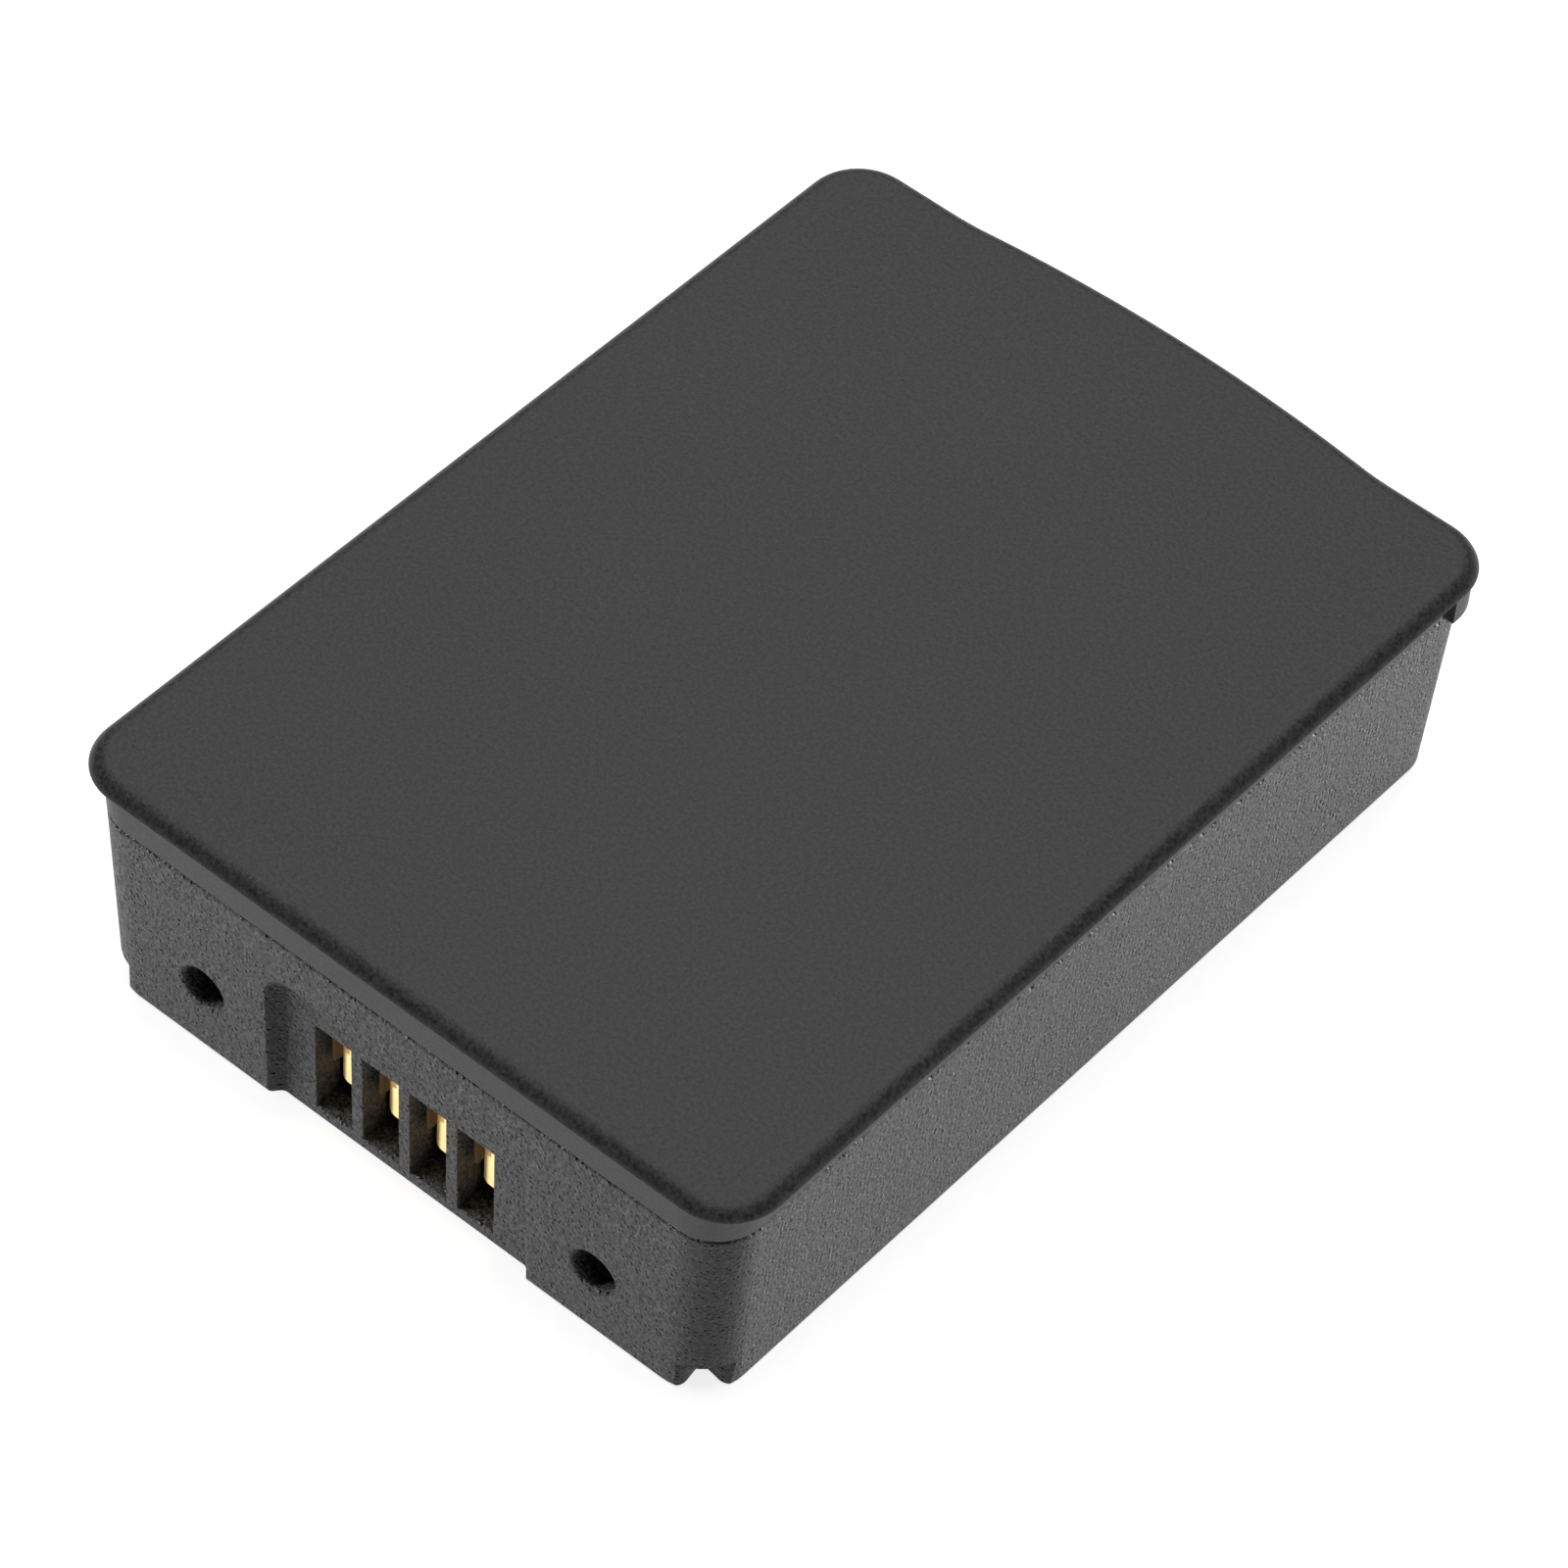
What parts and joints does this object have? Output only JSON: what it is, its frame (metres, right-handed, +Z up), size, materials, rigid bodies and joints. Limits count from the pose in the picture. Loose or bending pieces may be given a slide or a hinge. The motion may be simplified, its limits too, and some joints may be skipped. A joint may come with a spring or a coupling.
{
  "type": "wireless headset battery",
  "caption": "Flat rechargeable battery pack for a wireless headset, with an overhanging cover, a bowed finger edge, slotted gold contacts in a bay and blind locating sockets.",
  "frame": {"origin": "centre of the bounding box's bottom face, on the flat base", "axes": "+X across the pack to the right seen from the contact end, -Y towards the contact end, +Z up from the base to the cover"},
  "size_m": [0.0506, 0.071, 0.0182],
  "materials": {
    "case_plastic": "black moulded plastic with a spark-eroded grain",
    "cover_plastic": "fine matte black moulded plastic",
    "contact_gold": "gold plated sheet",
    "inner_plastic": "plain black moulded plastic",
    "circuit_board": "green solder mask",
    "chip": "black moulding compound",
    "ceramic": "brown ceramic",
    "nickel": "bare nickel sheet",
    "cell_foil": "laminated aluminium foil",
    "insulating_paper": "pale insulating paper",
    "foam": "dark closed-cell foam"
  },
  "bodies": {
    "root": {"case": "case_plastic", "cover": "cover_plastic", "contact_positive": "contact_gold", "contact_data": "contact_gold", "contact_temperature": "contact_gold", "contact_negative": "contact_gold", "contact_carrier": "inner_plastic", "protection_board": "circuit_board", "protection_ic": "chip", "mosfet_pair": "chip", "sense_resistor": "chip", "board_capacitors": "ceramic", "thermistor": "ceramic", "thermal_cutoff": "inner_plastic", "positive_strip": "nickel", "negative_strip": "nickel", "lower_cell": "cell_foil", "upper_cell": "cell_foil", "end_insulator": "insulating_paper", "lower_adhesive": "insulating_paper", "middle_adhesive": "insulating_paper", "foam_pad": "foam"}
  },
  "joints": []
}
